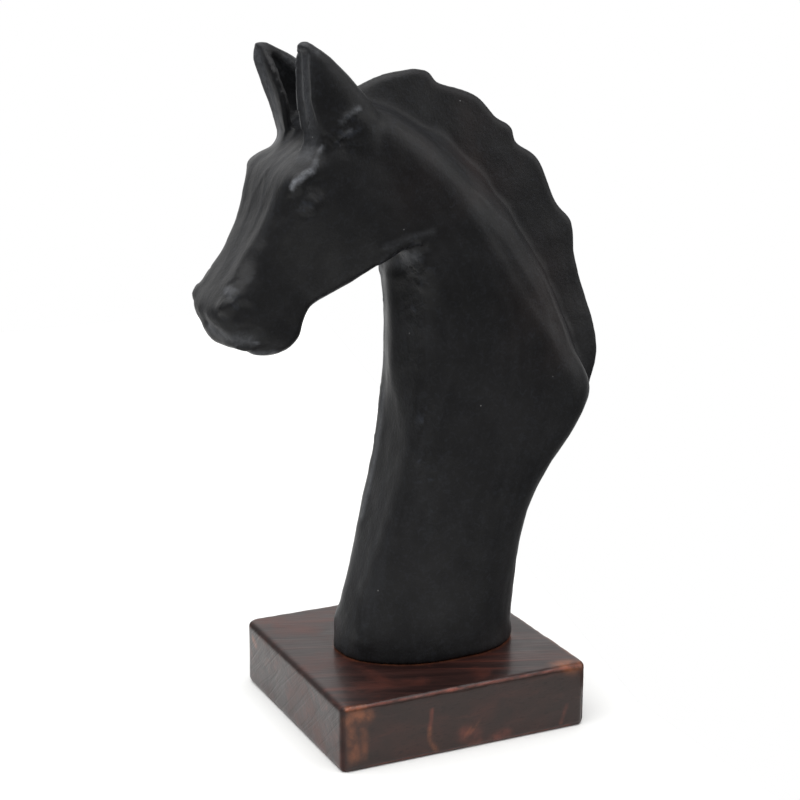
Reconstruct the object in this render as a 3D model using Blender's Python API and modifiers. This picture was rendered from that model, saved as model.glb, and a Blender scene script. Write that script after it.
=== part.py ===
# Papier-mache horse head on a square block of stained wood.
# The horse faces -Y, its left side is +X, and the origin is the middle of the block's underside.
# The head is built up as a maker does it: a neck, a wedge of a face, a mane and two ears are
# pressed together under one skin, worked with a rounded tool, and cut off flat at the foot.
# Lengths in the tables below are in millimetres.

import math

import bmesh
import bpy
import numpy as np
from mathutils import Vector

MM = 0.001

# Wooden block
BLOCK_WIDTH = 123
BLOCK_LENGTH = 128
BLOCK_HEIGHT = 32
BLOCK_ROUNDING = 1.5
ROUNDING_STEPS = 3
BLOCK_COLOUR = (0.045, 0.018, 0.010, 1)
VARNISH_ROUGHNESS = 0.25

# Black painted head. It stands on the block with a film of glue between them.
GLUE_FILM = 0.3
HEAD_COLOUR = (0.012, 0.012, 0.013, 1)
PAINT_ROUGHNESS = 0.75
SHARP_FROM_DEGREES = 40

# The skin that is drawn over the head's pieces
SKIN_GRAIN = 1.5
SMOOTH_ROUNDS = 4
HEAD_TRIANGLES = 8800

CORNER_POINTS = 9
RIBS_BETWEEN = 6

# A rib is one cross-section of a form. It gives its low and its high end as (y, z), and the
# shape of both ends as (half width, depth of the rounded corner, width of the rounded corner).

# Neck, from the foot up. The low end is the throat side, the high end is the crest.
NECK_RIBS = [
    ((-40, 26), (51, 26), (31.8, 45, 31), (31.8, 36, 28)),
    ((-38.8, 33), (51, 33), (31.8, 44, 31), (31.8, 36, 28)),
    ((-35.5, 48), (50.5, 48), (31.2, 37, 28), (31.2, 34, 27)),
    ((-26.3, 74), (52.6, 72), (30.7, 25, 22), (31, 30, 26)),
    ((-18.7, 100), (57.3, 95), (30, 15, 17), (31, 27, 26)),
    ((-12, 125), (66.4, 115), (29.7, 11, 14), (31, 25, 24)),
    ((-8.7, 148), (81, 136), (29.3, 10, 14), (31, 22, 21)),
    ((-6.5, 170), (88.6, 156), (29, 10, 14), (30.5, 20, 20)),
    ((-6.5, 191), (75.5, 180), (28.5, 10, 14), (30, 19, 19)),
    ((-7.5, 210), (58, 208), (28.5, 10, 14), (30, 19, 19)),
    ((-11, 228), (42, 233), (28.5, 9, 13), (30, 18, 19)),
    ((-21, 244), (25.5, 258), (28.5, 9, 12), (29.5, 18, 20)),
    ((-33, 257), (7, 276.5), (28, 10, 12), (29, 17, 20)),
    ((-44, 266), (-11.5, 290), (27, 10, 12), (28, 15, 20)),
    ((-52, 272), (-29, 297), (26, 8, 12), (25.5, 12, 20)),
]

# Face, from the back of the cheek to the lips. The low end is the jaw, the high end the
# flat front that runs from between the ears down to the nostrils.
FACE_RIBS = [
    ((12, 249), (-24, 294), (25, 9, 12), (26, 11, 20)),
    ((3, 240), (-38, 292.5), (27.5, 8, 11), (27, 11, 17)),
    ((-8, 233.5), (-50, 286.5), (28, 7, 10), (29, 9, 14)),
    ((-18.5, 228), (-59.2, 277), (26.5, 7, 10), (29.8, 7, 12)),
    ((-27.9, 221.7), (-70.6, 268.7), (23, 7, 10), (31, 5, 9)),
    ((-36.8, 216), (-74.5, 259.5), (20, 7, 9), (29, 5, 9)),
    ((-44, 212.2), (-77.5, 250.5), (17.5, 6.5, 8), (26, 6, 9)),
    ((-50.6, 208.8), (-81.4, 242), (16, 6, 8), (23.3, 6, 9)),
    ((-55.5, 205.5), (-86.4, 234), (15, 6, 8), (22.2, 6, 9)),
    ((-59.2, 199), (-91.8, 225.7), (15, 6, 8), (22.4, 7, 10)),
    ((-61.5, 192), (-97.5, 217.5), (15.5, 6, 8), (23, 7, 11)),
    ((-67, 187), (-102.2, 209.8), (15.5, 6, 9), (22.2, 7, 12)),
    ((-75, 184.8), (-103.4, 203.8), (14, 6, 9), (19.5, 11, 12)),
    ((-82, 185.6), (-100.9, 198.9), (12.5, 5, 9), (17.5, 13, 11)),
    ((-84.5, 187.2), (-98.2, 194.2), (11, 3, 8), (16.5, 9, 12)),
    ((-89, 190.8), (-96, 191.2), (10, 2, 8), (15, 3, 10)),
]

# The mane is a thin upright plate on the crest. Root and edge points as (y, z).
MANE_RIBS = [
    ((-35, 290), (-31, 300)),
    ((-26, 289), (-19, 305.8)),
    ((-16, 286), (-5, 308.5)),
    ((-6, 279), (7.6, 307.9)),
    ((11, 264), (32.6, 295.6)),
    ((24, 249), (50.6, 281.1)),
    ((36, 233), (65.6, 264.4)),
    ((54, 206), (84.3, 233.8)),
    ((67, 184), (92.7, 207.6)),
    ((80, 162), (100.5, 172)),
    ((85, 150), (97.3, 153)),
    ((86, 143), (94.5, 145)),
]
# Half width, corner depth and corner width of the mane's section at its root and at its edge
MANE_ROOT_END = (8.5, 1, 1)
MANE_EDGE_END = (3.6, 2.5, 2.5)
# The edge falls in locks, each between two ribs: their numbers, where between them the edge
# is cut back most, and by how much.
MANE_LOCKS = [
    (3, 4, 0.22, 3.2),
    (4, 5, 0.62, 2.2),
    (5, 6, 0.32, 3.6),
    (6, 7, 0.62, 3),
    (7, 9, 0.27, 4.2),
]

# The ears are hand made and not quite alike. Each slice of an ear, from the base up, gives
# its height, front y, back y, inner x and outer x.
LEFT_EAR = [
    (266, -56.5, -12, 12, 27.5),
    (276, -59.5, -16.5, 12, 28.7),
    (284, -63, -21, 12, 29.5),
    (292, -65, -26.5, 12.3, 30),
    (300, -66, -32.5, 13, 30.2),
    (308, -67, -40, 14, 30.2),
    (314, -67.3, -46.2, 15.5, 30),
    (319, -67, -52, 17.5, 29.5),
    (322.7, -66, -57.5, 20, 28),
    (325.2, -64.2, -61, 22.5, 26),
]
RIGHT_EAR = [
    (266, -50, -8, 12, 27.5),
    (276, -55.5, -12.5, 12, 28.7),
    (284, -59.3, -18, 12, 29.5),
    (291, -60.8, -24, 12.3, 30),
    (298.5, -64.5, -30.5, 13, 30.2),
    (306, -66.5, -38, 14, 30.2),
    (311.5, -68.2, -44.3, 15.5, 30),
    (315.8, -68.9, -50.5, 17.5, 29.5),
    (319.2, -68.4, -57, 19.5, 28.5),
    (321.8, -67, -62, 22, 26.5),
]
# The hollow of an ear, from its floor up: height, centre y, centre x, radius
LEFT_EAR_HOLLOW = [
    (281, -53, 14, 3),
    (285, -54, 12.5, 8),
    (291, -55, 11.5, 12),
    (302, -57, 11.5, 13),
    (313, -60.5, 13, 10),
    (318, -62.5, 15, 6.8),
    (321, -63, 16.5, 3),
]
RIGHT_EAR_HOLLOW = [
    (281, -50, 14, 3),
    (285, -50.5, 12.5, 8),
    (290.5, -52, 11.5, 12),
    (300.5, -56, 11.5, 13),
    (310.5, -60.5, 13, 10),
    (315.5, -62.8, 15, 6.8),
    (318.5, -63.5, 16.5, 3),
]

# Strokes of a rounded tool on the left side, repeated on the right: the path as (x, y, z),
# the reach of the tool, how far it raises (+) or presses in (-) the skin, and over which
# shares of the path it fades in at the start and out at the end.
STROKES = {
    "brow": (
        [(30, -55, 281), (31, -62, 273), (31, -68, 268.5), (29.5, -73, 263.5)],
        6,
        1.0,
        (0.4, 0.2),
    ),
    "under_brow": (
        [(30.5, -50, 268), (30.5, -60, 264), (29.5, -67, 261)],
        6,
        -1.8,
        (0.5, 0.3),
    ),
    "side_of_brow": (
        [(29.5, -66, 262), (27, -72, 254), (24, -76, 245)],
        6,
        -1.8,
        (0.2, 0.5),
    ),
    "eyelid": (
        [(29, -57, 258.5), (28, -65, 254.5)],
        6,
        1.0,
        (0.2, 0.2),
    ),
    "side_of_nose": (
        [(20, -80, 238), (19.5, -86, 228), (20, -90, 220)],
        7,
        -0.8,
        (0.4, 0.4),
    ),
    "nostril_rim": (
        [(18, -96, 214.5), (18, -99.5, 211), (15.5, -102.5, 207)],
        5.5,
        1.3,
        (0.3, 0.3),
    ),
    "nostril": (
        [(21.5, -89, 213), (20, -95, 208), (15, -100.5, 204.5)],
        5,
        -2.8,
        (0.2, 0.3),
    ),
    "above_lip": (
        [(0, -102, 201.7), (8, -101, 201.5), (14, -96, 200.5), (17.5, -86, 198)],
        4,
        -1.4,
        (0, 0.3),
    ),
    "mouth": (
        [(0, -87.5, 188.6), (6, -87, 189.5), (12, -84.5, 190.5), (14.5, -79, 191)],
        3.4,
        -3,
        (0, 0.4),
    ),
    "jaw_edge": (
        [(21, -36, 219.5), (24, -26, 227.5), (27, -16, 231.5), (29, -5, 235.5), (29.5, 6, 243)],
        5,
        1.5,
        (0.3, 0.4),
    ),
    "below_jaw": (
        [(22, -25, 219.5), (26.5, -16, 225), (28.5, -6, 229), (29, 3, 235), (29.5, 12, 244)],
        6.5,
        -1.8,
        (0.2, 0.5),
    ),
    "neck_furrow": (
        [(29, 3, 222), (29.5, 7, 190), (30, 3, 150), (31, -5, 110), (31.5, -13, 70)],
        17,
        -1.4,
        (0.15, 0.4),
    ),
    "ear_fold": (
        [(29.5, -39, 297), (29.5, -46, 290), (29.5, -53, 283)],
        4,
        0.8,
        (0.4, 0.3),
    ),
    "behind_fold": (
        [(29.5, -36, 290), (29.5, -44, 283), (29.5, -51, 276)],
        6,
        -0.8,
        (0.4, 0.3),
    ),
    "ear_lip": (
        [(25, -67, 320), (25.5, -66, 302), (25, -64, 288)],
        3.5,
        -1.0,
        (0.1, 0.4),
    ),
}
# A groove runs down each side of the mane, where it leaves the crest. Its path keeps every
# third of the mane's rows.
MANE_GROOVE_X = 10
MANE_GROOVE_REACH = 4
MANE_GROOVE_DEPTH = 1.6
MANE_GROOVE_FADE = (0.1, 0.1)
MANE_GROOVE_STEP = 3
# How far the groove's path lies out from the mane's root towards its edge
MANE_GROOVE_SHARE = 0.12


def through(points, count):
    """Points on a smooth curve through the given rows, with count steps between each two."""
    rows = np.array(points, float)
    ahead = np.vstack([rows[1:], 2 * rows[-1] - rows[-2]])
    behind = np.vstack([2 * rows[0] - rows[1], rows[:-1]])
    slope = (ahead - behind) / 2
    made = []
    for i in range(len(rows) - 1):
        for t in np.arange(count) / count:
            t2, t3 = t * t, t * t * t
            made.append(
                (2 * t3 - 3 * t2 + 1) * rows[i]
                + (t3 - 2 * t2 + t) * slope[i]
                + (3 * t2 - 2 * t3) * rows[i + 1]
                + (t3 - t2) * slope[i + 1]
            )
    made.append(rows[-1])
    return np.array(made)


def rounded_end(reach, half, depth, width):
    """One end of a rib, from its right side over the end to its left side, as (along, across)."""
    angle = np.linspace(0, math.pi / 2, CORNER_POINTS)
    along = reach - depth + depth * np.sin(angle)
    across = half - width + width * np.cos(angle)
    right = np.column_stack([along, across])
    left = np.column_stack([along, -across])[::-1]
    return np.vstack([right, left])


def rib_ring(low, high, low_end, high_end):
    """A closed ring that stands across the YZ plane, between two points of that plane."""
    low, high = np.array([0, *low]), np.array([0, *high])
    middle, reach = (low + high) / 2, np.linalg.norm(high - low) / 2
    direction = (high - low) / (2 * reach)
    over = rounded_end(reach, *high_end)
    under = rounded_end(reach, *low_end)
    flat = np.vstack([over, -under])
    ring = middle + np.outer(flat[:, 0], direction)
    ring[:, 0] = flat[:, 1]
    return ring


def oval_ring(x, y, z, half_x, half_y):
    """A level oval."""
    angle = np.linspace(0, 2 * math.pi, 4 * CORNER_POINTS, endpoint=False)
    height = np.full_like(angle, z)
    return np.column_stack([x + half_x * np.cos(angle), y + half_y * np.sin(angle), height])


def add_object(name, mesh):
    data = bpy.data.meshes.new(name)
    mesh.to_mesh(data)
    mesh.free()
    obj = bpy.data.objects.new(name, data)
    bpy.context.scene.collection.objects.link(obj)
    return obj


def skin(name, rings):
    """A closed mesh over a row of rings."""
    mesh = bmesh.new()
    loops = [[mesh.verts.new(Vector(point) * MM) for point in ring] for ring in rings]
    count = len(loops[0])
    for below, above in zip(loops, loops[1:]):
        for i in range(count):
            j = (i + 1) % count
            mesh.faces.new((below[i], below[j], above[j], above[i]))
    mesh.faces.new(loops[0])
    mesh.faces.new(loops[-1])
    bmesh.ops.recalc_face_normals(mesh, faces=mesh.faces)
    return add_object(name, mesh)


def rib_form(name, ribs):
    rows = [(*low, *high, *low_end, *high_end) for low, high, low_end, high_end in ribs]
    rings = [rib_ring(r[0:2], r[2:4], r[4:7], r[7:10]) for r in through(rows, RIBS_BETWEEN)]
    return skin(name, rings)


def lock_notch(rib):
    """How far the mane's edge is cut back at this place, which is counted in ribs."""
    for first, last, deepest, depth in MANE_LOCKS:
        share = (rib - first) / (last - first)
        if 0 <= share <= 1:
            turn = share / deepest if share < deepest else (1 - share) / (1 - deepest)
            return depth * (1 - math.cos(math.pi * turn)) / 2
    return 0.0


def mane_rows():
    """Root and edge points all the way down the mane, as rows of (root y, root z, edge y, edge z)."""
    rows = through([(*root, *edge) for root, edge in MANE_RIBS], 2 * RIBS_BETWEEN)
    rib = np.linspace(0, len(MANE_RIBS) - 1, len(rows))
    out = rows[:, 2:4] - rows[:, 0:2]
    out /= np.linalg.norm(out, axis=1)[:, None]
    rows[:, 2:4] -= out * np.array([lock_notch(r) for r in rib])[:, None]
    return rows


def make_mane():
    return skin("mane", [rib_ring(r[0:2], r[2:4], MANE_ROOT_END, MANE_EDGE_END) for r in mane_rows()])


def make_ear(name, side, slices, hollow):
    """side is 1 for the left ear and -1 for the right."""
    rings = []
    for z, front, back, inner, outer in through(slices, RIBS_BETWEEN):
        middle = (side * (inner + outer) / 2, (front + back) / 2)
        rings.append(oval_ring(*middle, z, (outer - inner) / 2, (back - front) / 2))
    ear = skin(name, rings)
    scoop = [oval_ring(side * x, y, z, radius, radius) for z, y, x, radius in through(hollow, RIBS_BETWEEN)]
    cut(ear, skin(name + "_hollow", scoop))
    return ear


def settle(obj):
    """Makes the evaluated shape the object's own mesh."""
    graph = bpy.context.evaluated_depsgraph_get()
    graph.update()
    data = bpy.data.meshes.new_from_object(obj.evaluated_get(graph))
    obj.modifiers.clear()
    obj.data = data


def cut(obj, cutter):
    modifier = obj.modifiers.new(cutter.name, "BOOLEAN")
    modifier.operation = "DIFFERENCE"
    modifier.object = cutter
    settle(obj)
    bpy.data.objects.remove(cutter)


def join(name, pieces):
    mesh = bmesh.new()
    for piece in pieces:
        mesh.from_mesh(piece.data)
        bpy.data.objects.remove(piece)
    return add_object(name, mesh)


def draw_skin(obj):
    """One skin over all the pieces, smoothed."""
    remesh = obj.modifiers.new("skin", "REMESH")
    remesh.mode = "VOXEL"
    remesh.voxel_size = SKIN_GRAIN * MM
    smooth = obj.modifiers.new("smooth", "SMOOTH")
    smooth.iterations = SMOOTH_ROUNDS
    settle(obj)


def nearest_on_path(points, path):
    """For each point, its distance to a line through the path's points and where along it, from 0 to 1."""
    nearest = np.full(len(points), np.inf)
    place = np.zeros(len(points))
    for i, (a, b) in enumerate(zip(path[:-1], path[1:])):
        run = b - a
        share = np.clip((points - a) @ run / (run @ run), 0, 1)
        gap = np.linalg.norm(points - a - np.outer(share, run), axis=1)
        closer = gap < nearest
        nearest[closer] = gap[closer]
        place[closer] = (i + share[closer]) / (len(path) - 1)
    return nearest, place


def stroke(obj, path, reach, push, fade):
    """Moves the skin in or out along its normals, most on the path and not at all past the reach."""
    count = len(obj.data.vertices)
    points = np.empty(count * 3, np.float32)
    normals = np.empty(count * 3, np.float32)
    obj.data.vertices.foreach_get("co", points)
    obj.data.vertex_normals.foreach_get("vector", normals)
    points, normals = points.reshape(-1, 3) / MM, normals.reshape(-1, 3)
    distance, place = nearest_on_path(points, np.array(path, float))
    strength = (1 - np.clip(distance / reach, 0, 1) ** 2) ** 2
    for share, length in ((place, fade[0]), (1 - place, fade[1])):
        if length:
            rise = np.clip(share / length, 0, 1)
            strength *= rise * rise * (3 - 2 * rise)
    points += normals * (push * strength)[:, None]
    obj.data.vertices.foreach_set("co", (points * MM).ravel())
    obj.data.update()


def work_the_skin(obj):
    for path, reach, push, fade in STROKES.values():
        curve = through(path, RIBS_BETWEEN)
        for side in (1, -1):
            stroke(obj, curve * (side, 1, 1), reach, push, fade)
    rows = mane_rows()
    groove = rows[:, 0:2] + (rows[:, 2:4] - rows[:, 0:2]) * MANE_GROOVE_SHARE
    for x in (MANE_GROOVE_X, -MANE_GROOVE_X):
        path = np.column_stack([np.full(len(groove), x), groove])
        stroke(obj, path[::MANE_GROOVE_STEP], MANE_GROOVE_REACH, -MANE_GROOVE_DEPTH, MANE_GROOVE_FADE)


def thin_out(obj, triangles):
    obj.data.calc_loop_triangles()
    modifier = obj.modifiers.new("thin", "DECIMATE")
    modifier.ratio = triangles / len(obj.data.loop_triangles)
    settle(obj)


def cut_foot_flat(obj):
    """Cuts the head off just above the block's top."""
    size = 2 * BLOCK_LENGTH * MM
    top = (BLOCK_HEIGHT + GLUE_FILM) * MM
    bpy.ops.mesh.primitive_cube_add(size=size, location=(0, 0, top - size / 2))
    cut(obj, bpy.context.object)


def finish(obj, colour, roughness):
    """Gives a finished piece its place in the object's collection, its shading and its material."""
    material = bpy.data.materials.new(obj.name)
    material.use_nodes = True
    shader = material.node_tree.nodes["Principled BSDF"]
    shader.inputs["Base Color"].default_value = colour
    shader.inputs["Roughness"].default_value = roughness
    obj.data.materials.clear()
    obj.data.materials.append(material)
    obj.data.shade_smooth()
    obj.data.set_sharp_from_angle(angle=math.radians(SHARP_FROM_DEGREES))
    for collection in list(obj.users_collection):
        collection.objects.unlink(obj)
    bpy.data.collections["papier_mache_horse_head"].objects.link(obj)


def make_block():
    bpy.ops.mesh.primitive_cube_add(size=1, location=(0, 0, BLOCK_HEIGHT * MM / 2))
    block = bpy.context.object
    block.name = "wood_block"
    block.scale = (BLOCK_WIDTH * MM, BLOCK_LENGTH * MM, BLOCK_HEIGHT * MM)
    bpy.ops.object.transform_apply(location=False, rotation=False, scale=True)
    bevel = block.modifiers.new("rounding", "BEVEL")
    bevel.width = BLOCK_ROUNDING * MM
    bevel.segments = ROUNDING_STEPS
    finish(block, BLOCK_COLOUR, VARNISH_ROUGHNESS)


def make_head():
    clay = [
        rib_form("neck", NECK_RIBS),
        rib_form("face", FACE_RIBS),
        make_mane(),
        make_ear("left_ear", 1, LEFT_EAR, LEFT_EAR_HOLLOW),
        make_ear("right_ear", -1, RIGHT_EAR, RIGHT_EAR_HOLLOW),
    ]
    head = join("horse_head", clay)
    draw_skin(head)
    work_the_skin(head)
    thin_out(head, HEAD_TRIANGLES)
    cut_foot_flat(head)
    finish(head, HEAD_COLOUR, PAINT_ROUGHNESS)


def clear_scene():
    for obj in list(bpy.data.objects):
        bpy.data.objects.remove(obj)
    bpy.context.scene.collection.children.link(bpy.data.collections.new("papier_mache_horse_head"))


clear_scene()
make_block()
make_head()
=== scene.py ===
# A papier-mache horse head, brushed black, glued to a square block of stained and varnished wood.
# The horse looks along -Y. Its left side is +X, which is the side that the camera sees.

import math

import bmesh
import bpy
import numpy as np
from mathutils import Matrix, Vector
from mathutils.kdtree import KDTree


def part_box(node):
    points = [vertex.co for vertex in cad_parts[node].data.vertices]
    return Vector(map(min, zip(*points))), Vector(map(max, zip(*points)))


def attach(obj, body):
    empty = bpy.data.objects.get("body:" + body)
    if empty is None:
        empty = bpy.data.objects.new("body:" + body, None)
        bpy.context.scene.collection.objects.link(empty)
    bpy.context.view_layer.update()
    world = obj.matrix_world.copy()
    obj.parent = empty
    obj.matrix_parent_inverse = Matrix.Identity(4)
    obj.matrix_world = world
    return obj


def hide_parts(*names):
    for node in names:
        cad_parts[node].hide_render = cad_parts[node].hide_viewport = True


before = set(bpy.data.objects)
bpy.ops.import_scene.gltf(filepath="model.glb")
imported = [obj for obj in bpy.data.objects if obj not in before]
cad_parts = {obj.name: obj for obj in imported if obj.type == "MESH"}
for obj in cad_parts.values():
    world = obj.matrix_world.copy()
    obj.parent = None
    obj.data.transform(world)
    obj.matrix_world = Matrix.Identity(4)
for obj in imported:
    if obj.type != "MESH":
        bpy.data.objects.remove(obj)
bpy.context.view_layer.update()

mm = 0.001


# Small helpers

def toLinear(hexColour):
    # "#rrggbb" as a paint chip is read, to the linear colour that the shaders use
    channels = [int(hexColour[i:i + 2], 16) / 255 for i in (1, 3, 5)]
    return (*[c / 12.92 if c <= 0.04045 else ((c + 0.055) / 1.055) ** 2.4 for c in channels], 1)


def addNode(tree, kind, inputs=None, **settings):
    # One node with its settings. An input is given a value, or the output that feeds it.
    node = tree.nodes.new(kind)
    for name, value in settings.items():
        setattr(node, name, value)
    for key, value in (inputs or {}).items():
        if isinstance(value, bpy.types.NodeSocket):
            tree.links.new(value, node.inputs[key])
        else:
            node.inputs[key].default_value = value
    return node


def newTree(name, sizes, finish):
    # A Geometry Nodes tree with a named input for each size, and one for its material
    tree = bpy.data.node_groups.new(name, "GeometryNodeTree")
    for way in ("INPUT", "OUTPUT"):
        tree.interface.new_socket(name="Geometry", in_out=way, socket_type="NodeSocketGeometry")
    for sizeName, value in sizes.items():
        socket = tree.interface.new_socket(name=sizeName, in_out="INPUT", socket_type="NodeSocketFloat")
        socket.default_value = value
    tree.interface.new_socket(name=finish, in_out="INPUT", socket_type="NodeSocketMaterial")
    return tree


def endTree(tree, geometry, push, finish):
    # Moves the surface along its normals by push, and makes the result real and finished
    normal = addNode(tree, "GeometryNodeInputNormal").outputs[0]
    offset = addNode(tree, "ShaderNodeVectorMath", {0: normal, "Scale": push}, operation="SCALE")
    moved = addNode(tree, "GeometryNodeSetPosition", {"Geometry": geometry, "Offset": offset.outputs[0]})
    whole = addNode(tree, "GeometryNodeRealizeInstances", {0: moved.outputs[0]})
    finished = addNode(tree, "GeometryNodeSetMaterial", {"Geometry": whole.outputs[0], "Material": finish})
    addNode(tree, "NodeGroupOutput", {0: finished.outputs[0]})
    return tree


def runTree(obj, tree, values):
    # Runs a tree on an object and leaves the result as its plain mesh
    modifier = obj.modifiers.new(tree.name, "NODES")
    modifier.node_group = tree
    for item in tree.interface.items_tree:
        if item.in_out == "INPUT" and item.name in values:
            modifier[item.identifier] = values[item.name]
    settle(obj)


def settle(obj):
    # The evaluated shape becomes the object's own mesh, and its modifiers go
    graph = bpy.context.evaluated_depsgraph_get()
    graph.update()
    mesh = bpy.data.meshes.new_from_object(obj.evaluated_get(graph))
    old = obj.data
    obj.modifiers.clear()
    obj.data = mesh
    bpy.data.meshes.remove(old)


def addObject(name, mesh):
    obj = bpy.data.objects.new(name, mesh)
    bpy.context.scene.collection.objects.link(obj)
    return obj


def readPoints(mesh):
    # Vertices in millimetres
    flat = np.empty(len(mesh.vertices) * 3, np.float32)
    mesh.vertices.foreach_get("co", flat)
    return flat.reshape(-1, 3).astype(float) / mm


def writePoints(mesh, points):
    mesh.vertices.foreach_set("co", (points * mm).astype(np.float32).ravel())
    mesh.update()


def readNormals(mesh):
    flat = np.empty(len(mesh.vertices) * 3, np.float32)
    mesh.vertex_normals.foreach_get("vector", flat)
    return flat.reshape(-1, 3).astype(float)


def storeAttribute(mesh, name, values):
    values = np.asarray(values, np.float32)
    kind, field = ("FLOAT", "value") if values.ndim == 1 else ("FLOAT_VECTOR", "vector")
    attribute = mesh.attributes.new(name, kind, "POINT")
    attribute.data.foreach_set(field, values.ravel())


def smoothStep(value):
    value = np.clip(value, 0, 1)
    return value * value * (3 - 2 * value)


def smoothPath(rows, steps=5):
    # Points on a soft curve through the rows
    rows = np.array(rows, float)
    ahead = np.vstack([rows[1:], 2 * rows[-1] - rows[-2]])
    behind = np.vstack([2 * rows[0] - rows[1], rows[:-1]])
    slope = (ahead - behind) / 2
    made = []
    for i in range(len(rows) - 1):
        for t in np.arange(steps) / steps:
            t2, t3 = t * t, t * t * t
            made.append((2 * t3 - 3 * t2 + 1) * rows[i] + (t3 - 2 * t2 + t) * slope[i]
                        + (3 * t2 - 2 * t3) * rows[i + 1] + (t3 - t2) * slope[i + 1])
    made.append(rows[-1])
    return np.array(made)


def nearestOnPath(points, path):
    # Distance to the path, and how far along it that is, from 0 to 1
    nearest = np.full(len(points), np.inf)
    place = np.zeros(len(points))
    for i, (a, b) in enumerate(zip(path[:-1], path[1:])):
        run = b - a
        share = np.clip((points - a) @ run / (run @ run), 0, 1)
        gap = np.linalg.norm(points - a - np.outer(share, run), axis=1)
        closer = gap < nearest
        nearest[closer] = gap[closer]
        place[closer] = (i + share[closer]) / (len(path) - 1)
    return nearest, place


def softSpots(points, spots):
    # 0 to 1 near a list of spots, each (x, y, z, radius, strength)
    total = np.zeros(len(points))
    for x, y, z, radius, strength in spots:
        gap = np.linalg.norm(points - (x, y, z), axis=1) / radius
        total = np.maximum(total, strength * smoothStep(1 - gap))
    return total


def nearPath(points, path, reach):
    # The points that may be within reach of a path, with their distance to it and place along it
    curve = smoothPath(path)
    near = np.all((points > curve.min(0) - reach) & (points < curve.max(0) + reach), axis=1)
    index = np.nonzero(near)[0]
    return index, *nearestOnPath(points[index], curve)


def softPaths(points, paths):
    # 0 to 1 near a set of paths, each (path, reach, strength)
    total = np.zeros(len(points))
    for path, reach, strength in paths.values():
        index, distance, _ = nearPath(points, path, reach)
        total[index] = np.maximum(total[index], strength * smoothStep(1 - distance / reach))
    return total


# Camera and light

studio = {
    "azimuth": 64.8,            # degrees round from the horse's front to its left side
    "elevation": 14.8,
    "distance": 0.936,
    "shiftRight": -0.0055,
    "shiftUp": 0.1487,
    "lens": 85,
    "paper": "#dfdfde",
    # Corners of the paper sweep in metres. It stops short at the room's front left and at its back,
    # so that little light comes up from there.
    "floorCorners": [(-0.9, -0.02), (-0.27, -0.14), (-0.25, -0.32), (-0.12, -0.5), (0.4, -0.5),
                     (0.4, 0.1), (0.05, 0.1), (-0.9, 0.32)],
    "roomGlow": 0.15,           # light from the dark side of the room
    "backdropGlow": 0.93,       # light from the white backdrop
    "backdropTowards": (-0.93, 0.32, 0.1),
    "backdropSpread": (0.5, 1),  # where its glow starts and is full: 0 is beside it, 1 is its middle
    "lights": [                 # name, where it comes from, degrees across, strength
        ("keySoftbox", (-1.0, -0.35, 0.5), 45, 0.24),
        ("topSoftbox", (0.15, -0.3, 1), 90, 4.6),
        ("sideFill", (0.5, 0.9, 0.4), 60, 1.15),
        ("crestFill", (0, 0.8, 0.75), 50, 0.15),
    ],
}


def makeStudio():
    turn, tilt = math.radians(studio["azimuth"]), math.radians(studio["elevation"])
    level = math.cos(tilt)
    back = Vector((math.sin(turn) * level, -math.cos(turn) * level, math.sin(tilt)))
    right = Vector((math.cos(turn), math.sin(turn), 0))
    up = back.cross(right)
    camera = bpy.data.objects.new("camera", bpy.data.cameras.new("camera"))
    camera.data.lens = studio["lens"]
    camera.location = back * studio["distance"] + right * studio["shiftRight"] + up * studio["shiftUp"]
    camera.rotation_euler = (-back).to_track_quat("-Z", "Y").to_euler()
    bpy.context.scene.collection.objects.link(camera)
    bpy.context.scene.camera = camera

    for name, towards, softness, strength in studio["lights"]:
        lamp = bpy.data.lights.new(name, "SUN")
        lamp.angle = math.radians(softness)
        lamp.energy = strength
        light = bpy.data.objects.new(name, lamp)
        light.rotation_euler = Vector(towards).to_track_quat("Z", "Y").to_euler()
        bpy.context.scene.collection.objects.link(light)

    world = bpy.data.worlds.new("studio")
    bpy.context.scene.world = world
    world.use_nodes = True
    tree = world.node_tree
    tree.nodes.clear()
    path = addNode(tree, "ShaderNodeLightPath")
    towards = addNode(tree, "ShaderNodeTexCoord").outputs["Generated"]
    facing = addNode(tree, "ShaderNodeVectorMath", {
        0: towards, 1: Vector(studio["backdropTowards"]).normalized()}, operation="DOT_PRODUCT")
    nearEnd, farEnd = studio["backdropSpread"]
    glow = addNode(tree, "ShaderNodeMapRange", {
        "Value": facing.outputs["Value"], "From Min": nearEnd, "From Max": farEnd,
        "To Min": studio["roomGlow"], "To Max": studio["backdropGlow"]}, interpolation_type="SMOOTHSTEP")
    room = addNode(tree, "ShaderNodeBackground", {"Color": (1, 1, 1, 1), "Strength": glow.outputs[0]})
    backdrop = addNode(tree, "ShaderNodeBackground", {"Color": (1, 1, 1, 1), "Strength": 1})
    mixed = addNode(tree, "ShaderNodeMixShader", {
        0: path.outputs["Is Camera Ray"], 1: room.outputs[0], 2: backdrop.outputs[0]})
    addNode(tree, "ShaderNodeOutputWorld", {"Surface": mixed.outputs[0]})
    bpy.context.scene.view_settings.view_transform = "Standard"

    sweep = bpy.data.meshes.new("floor")
    corners = studio["floorCorners"]
    sweep.from_pydata([(x, y, 0) for x, y in corners], [], [range(len(corners))])
    floor = addObject("floor", sweep)
    paper = bpy.data.materials.new("paperSweep")     # matt background paper
    paper.use_nodes = True
    shader = paper.node_tree.nodes["Principled BSDF"]
    shader.inputs["Base Color"].default_value = toLinear(studio["paper"])
    shader.inputs["Roughness"].default_value = 0.9
    floor.data.materials.append(paper)


makeStudio()
print("studio ready")


# How both finishes are put together

def newMaterial(name):
    material = bpy.data.materials.new(name)
    material.use_nodes = True
    material.node_tree.nodes.clear()
    return material


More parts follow.
